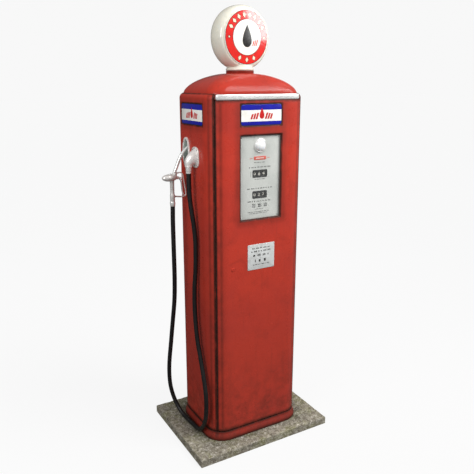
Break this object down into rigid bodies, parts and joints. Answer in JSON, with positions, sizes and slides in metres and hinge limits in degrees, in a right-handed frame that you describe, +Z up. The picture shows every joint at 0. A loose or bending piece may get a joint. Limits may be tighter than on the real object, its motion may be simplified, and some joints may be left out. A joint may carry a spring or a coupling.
{
  "type": "gas pump",
  "caption": "Tall free-standing fuel pump with a round lit globe, dial window, hung nozzle and hose, standing on a concrete slab.",
  "frame": {"origin": "middle of the concrete slab's underside", "axes": "+Z up, -Y towards the front dial, +X to the right seen from the front, so the nozzle and hose hang on the -X side"},
  "size_m": [0.854, 0.632, 2.386],
  "materials": {
    "concrete": "rough cast concrete, mottled with moss and dirt",
    "skirt_paint": "dark weathered red enamel",
    "frame_paint": "dull grey primer",
    "red_paint": "worn glossy red enamel with grime in its seams",
    "bright_trim": "bright plate, lightly worn",
    "printed_glass": "back-printed glass, opaque, glossy",
    "latch_brass": "dull",
    "plate_metal": "satin printed plate",
    "clear_glass": "clear, glossy",
    "dial_enamel": "satin light grey enamel",
    "cast_alloy": "cast, sand-textured",
    "number_wheel": "black with white numerals",
    "motor_iron": "painted casting",
    "cast_iron": "rough casting",
    "belt_rubber": "matte",
    "shaft_steel": "turned steel",
    "pipe_steel": "black iron pipe",
    "globe_glass": "opal milk glass",
    "lens_glass": "printed glass, red ring and white centre",
    "lamp_glass": "frosted bulb",
    "nozzle_metal": "worn cast alloy",
    "hose_rubber": "smooth black rubber"
  },
  "bodies": {
    "cabinet": {"concrete_slab": "concrete", "base_skirt": "skirt_paint", "corner_post_front_left": "frame_paint", "corner_post_front_right": "frame_paint", "corner_post_rear_left": "frame_paint", "corner_post_rear_right": "frame_paint", "top_frame": "frame_paint", "computer_shelf": "frame_paint", "left_side_panel": "red_paint", "right_side_panel": "red_paint", "top_hood": "red_paint", "front_trim_bar": "bright_trim", "rear_trim_bar": "bright_trim", "left_ad_glass": "printed_glass", "right_ad_glass": "printed_glass", "front_dial_plate": "dial_enamel", "rear_dial_plate": "dial_enamel", "front_sight_glass": "clear_glass", "rear_sight_glass": "clear_glass", "computer_head": "cast_alloy", "motor": "motor_iron", "drive_belt": "belt_rubber", "pump_unit": "cast_iron", "flow_meter": "cast_alloy", "delivery_pipe": "pipe_steel", "riser_pipe": "pipe_steel", "globe_body": "globe_glass", "globe_lens_front": "lens_glass", "globe_lens_rear": "lens_glass", "globe_lamp": "lamp_glass", "outlet_elbow": "cast_alloy", "outlet_ferrule": "bright_trim", "nozzle_boot": "cast_alloy", "hose": "hose_rubber"},
    "front_door": {"front_door": "red_paint", "front_ad_glass": "printed_glass", "front_dial_bezel": "skirt_paint", "front_dial_glass": "clear_glass", "notice_plate": "plate_metal"},
    "rear_door": {"rear_door": "red_paint", "rear_ad_glass": "printed_glass", "rear_dial_bezel": "skirt_paint", "rear_dial_glass": "clear_glass"},
    "front_latch": {"front_latch": "latch_brass"},
    "rear_latch": {"rear_latch": "latch_brass"},
    "flow_spinner": {"flow_spinner": "latch_brass"},
    "sale_units": {"sale_wheel_units": "number_wheel"},
    "sale_tens": {"sale_wheel_tens": "number_wheel"},
    "sale_hundreds": {"sale_wheel_hundreds": "number_wheel"},
    "volume_units": {"volume_wheel_units": "number_wheel"},
    "volume_tens": {"volume_wheel_tens": "number_wheel"},
    "volume_hundreds": {"volume_wheel_hundreds": "number_wheel"},
    "price_wheels": {"price_wheels": "number_wheel"},
    "motor_pulley": {"motor_pulley": "cast_iron"},
    "pump_pulley": {"pump_pulley": "cast_iron"},
    "meter_shaft": {"meter_shaft": "shaft_steel"},
    "nozzle": {"nozzle_body": "nozzle_metal", "nozzle_spout": "bright_trim", "nozzle_guard": "nozzle_metal"},
    "nozzle_lever": {"nozzle_lever": "nozzle_metal"}
  },
  "joints": [
    {"name": "front_door_swing", "type": "hinge", "parent": "cabinet", "child": "front_door", "pos_m": [0.25288, -0.19012, 1], "axis": [0, 0, 1], "range_deg": [0, 110]},
    {"name": "rear_door_swing", "type": "hinge", "parent": "cabinet", "child": "rear_door", "pos_m": [-0.25288, 0.19012, 1], "axis": [0, 0, 1], "range_deg": [0, 110]},
    {"name": "front_latch_turn", "type": "hinge", "parent": "front_door", "child": "front_latch", "pos_m": [-0.168, -0.185, 1.055], "axis": [0, -1, 0], "range_deg": [0, 90]},
    {"name": "rear_latch_turn", "type": "hinge", "parent": "rear_door", "child": "rear_latch", "pos_m": [0.168, 0.185, 1.055], "axis": [0, 1, 0], "range_deg": [0, 90]},
    {"name": "flow_spin", "type": "hinge", "parent": "cabinet", "child": "flow_spinner", "pos_m": [0, -0.21, 1.693], "axis": [0, 1, 0], "continuous": true},
    {"name": "meter_spin", "type": "hinge", "parent": "cabinet", "child": "meter_shaft", "pos_m": [0, 0, 1.1], "axis": [0, 0, 1], "continuous": true},
    {"name": "sale_units_turn", "type": "hinge", "parent": "cabinet", "child": "sale_units", "pos_m": [0, -0.168, 1.549], "axis": [1, 0, 0], "continuous": true},
    {"name": "sale_tens_turn", "type": "hinge", "parent": "cabinet", "child": "sale_tens", "pos_m": [0, -0.168, 1.549], "axis": [1, 0, 0], "continuous": true},
    {"name": "sale_hundreds_turn", "type": "hinge", "parent": "cabinet", "child": "sale_hundreds", "pos_m": [0, -0.168, 1.549], "axis": [1, 0, 0], "continuous": true},
    {"name": "volume_units_turn", "type": "hinge", "parent": "cabinet", "child": "volume_units", "pos_m": [0, -0.168, 1.439], "axis": [1, 0, 0], "continuous": true},
    {"name": "volume_tens_turn", "type": "hinge", "parent": "cabinet", "child": "volume_tens", "pos_m": [0, -0.168, 1.439], "axis": [1, 0, 0], "continuous": true},
    {"name": "volume_hundreds_turn", "type": "hinge", "parent": "cabinet", "child": "volume_hundreds", "pos_m": [0, -0.168, 1.439], "axis": [1, 0, 0], "continuous": true},
    {"name": "price_turn", "type": "hinge", "parent": "cabinet", "child": "price_wheels", "pos_m": [0, -0.178, 1.381], "axis": [1, 0, 0], "continuous": true},
    {"name": "pump_spin", "type": "hinge", "parent": "cabinet", "child": "pump_pulley", "pos_m": [-0.13, -0.084, 0.25], "axis": [0, 1, 0], "continuous": true},
    {"name": "motor_spin", "type": "hinge", "parent": "cabinet", "child": "motor_pulley", "pos_m": [0.125, -0.084, 0.163], "axis": [0, 1, 0], "continuous": true},
    {"name": "nozzle_lift", "type": "slide", "parent": "cabinet", "child": "nozzle", "axis": [-1, 0, 0], "range_m": [0, 0.08]},
    {"name": "nozzle_lever_squeeze", "type": "hinge", "parent": "nozzle", "child": "nozzle_lever", "pos_m": [-0.33, 0.062, 1.508], "axis": [0, 1, 0], "range_deg": [0, 20], "stiffness_Nm_per_rad": 2}
  ],
  "couplings": [
    {"joint": "motor_spin", "follows": "pump_spin", "ratio": 2.4706},
    {"joint": "volume_units_turn", "follows": "meter_spin", "ratio": 0.25},
    {"joint": "volume_tens_turn", "follows": "meter_spin", "ratio": 0.025},
    {"joint": "volume_hundreds_turn", "follows": "meter_spin", "ratio": 0.0025},
    {"joint": "sale_units_turn", "follows": "meter_spin", "ratio": 0.7475},
    {"joint": "sale_tens_turn", "follows": "meter_spin", "ratio": 0.07475},
    {"joint": "sale_hundreds_turn", "follows": "meter_spin", "ratio": 0.007475}
  ]
}
